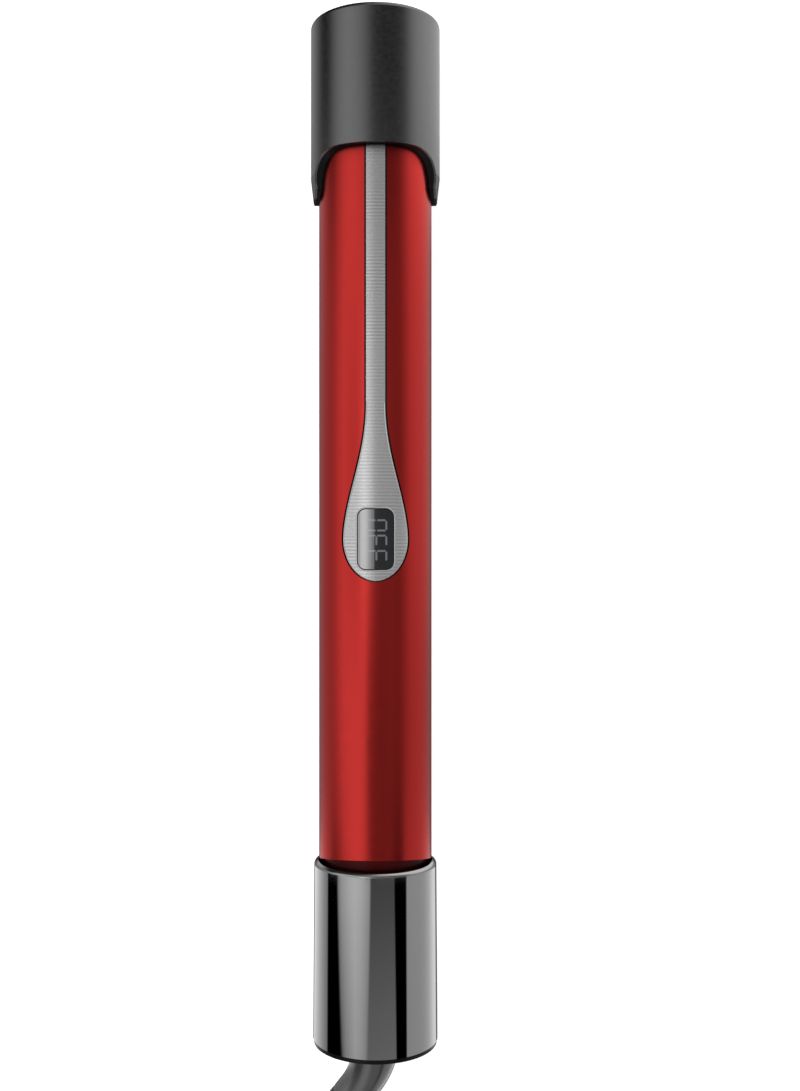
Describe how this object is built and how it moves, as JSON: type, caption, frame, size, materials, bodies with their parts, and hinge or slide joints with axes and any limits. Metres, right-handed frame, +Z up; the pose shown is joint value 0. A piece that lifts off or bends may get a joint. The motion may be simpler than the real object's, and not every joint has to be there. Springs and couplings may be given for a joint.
{
  "type": "hair styling iron",
  "caption": "Round-barrel hair styling iron whose hinged arms open onto sprung straightening plates, with cool tip, display inlay, swivelling mains cord and plug.",
  "frame": {"origin": "under the middle of the iron, on the table that it lies on, measured without the cord, its hank and its plug", "axes": "+Y along the iron from the cord end to the cool tip, +Z up out of the display, X across"},
  "size_m": [0.052, 0.4544, 0.0355],
  "materials": {
    "red_shell": "satin red anodised, slightly metallic",
    "cool_tip": "fine matte, heat resistant",
    "black_chrome": "mirror, dark plating",
    "black_plastic": "gloss black",
    "silver_inlay": "brushed across",
    "dark_window": "polished, tinted",
    "white_plastic": "moulded",
    "circuit_board": "solder mask",
    "dark_parts": "fine matte",
    "steel": "bright",
    "brass": "bright",
    "plate_coating": "polished, titanium coating",
    "ceramic": "ceramic",
    "copper_bead": "coated",
    "silicone": "soft matte",
    "cord_rubber": "smooth satin",
    "tie_strap": "woven",
    "plug_shell": "satin moulded",
    "plug_metal": "nickel plated"
  },
  "bodies": {
    "base": {"collar": "black_chrome", "base_cap": "black_plastic", "brush_holder": "black_plastic", "contact_brushes": "brass", "hinge_pin": "steel", "opening_spring": "steel", "lower_frame": "black_plastic", "lower_shell": "red_shell", "lower_tip_half": "cool_tip", "lower_screws": "steel", "power_board": "circuit_board", "lower_leads": "white_plastic", "lower_cushions": "silicone"},
    "lower_plate": {"lower_plate": "plate_coating", "lower_heater": "ceramic", "lower_heater_clip": "steel", "lower_sensor": "copper_bead"},
    "upper_arm": {"upper_frame": "black_plastic", "upper_shell": "red_shell", "upper_tip_half": "cool_tip", "upper_screws": "steel", "inlay": "silver_inlay", "display_window": "dark_window", "display_module": "white_plastic", "control_board": "circuit_board", "board_parts": "dark_parts", "button_switches": "dark_parts", "upper_leads": "white_plastic", "upper_cushions": "silicone"},
    "upper_plate": {"upper_plate": "plate_coating", "upper_heater": "ceramic", "upper_heater_clip": "steel", "upper_sensor": "copper_bead"},
    "power_button": {"power_button": "dark_parts"},
    "plus_button": {"plus_button": "dark_parts"},
    "minus_button": {"minus_button": "dark_parts"},
    "cord": {"swivel_drum": "black_plastic", "slip_rings": "brass", "cord_boot": "cord_rubber", "cord_lead": "cord_rubber", "cord_hank": "cord_rubber", "cord_tail": "cord_rubber", "cord_tie": "tie_strap", "plug_body": "plug_shell", "plug_pins": "plug_metal"}
  },
  "joints": [
    {"name": "arm_hinge", "type": "hinge", "parent": "base", "child": "upper_arm", "pos_m": [0, -0.0938, 0.01775], "axis": [1, 0, 0], "range_deg": [0, 10], "deforming": ["opening_spring"]},
    {"name": "upper_plate_float", "type": "slide", "parent": "upper_arm", "child": "upper_plate", "axis": [0, 0, 1], "range_m": [0, 0.001], "stiffness_N_per_m": 1500, "springref_m": -0.0008, "deforming": ["upper_cushions"]},
    {"name": "lower_plate_float", "type": "slide", "parent": "base", "child": "lower_plate", "axis": [0, 0, -1], "range_m": [0, 0.001], "stiffness_N_per_m": 1500, "springref_m": -0.0008, "deforming": ["lower_cushions"]},
    {"name": "power_button_press", "type": "slide", "parent": "upper_arm", "child": "power_button", "axis": [0, 0, 1], "range_m": [0, 0.0005], "stiffness_N_per_m": 400, "springref_m": -0.001},
    {"name": "plus_button_press", "type": "slide", "parent": "upper_arm", "child": "plus_button", "axis": [0, 0, 1], "range_m": [0, 0.0005], "stiffness_N_per_m": 400, "springref_m": -0.001},
    {"name": "minus_button_press", "type": "slide", "parent": "upper_arm", "child": "minus_button", "axis": [0, 0, 1], "range_m": [0, 0.0005], "stiffness_N_per_m": 400, "springref_m": -0.001},
    {"name": "cord_swivel", "type": "hinge", "parent": "base", "child": "cord", "pos_m": [0, -0.1396, 0.01775], "axis": [0, 1, 0], "continuous": true}
  ]
}
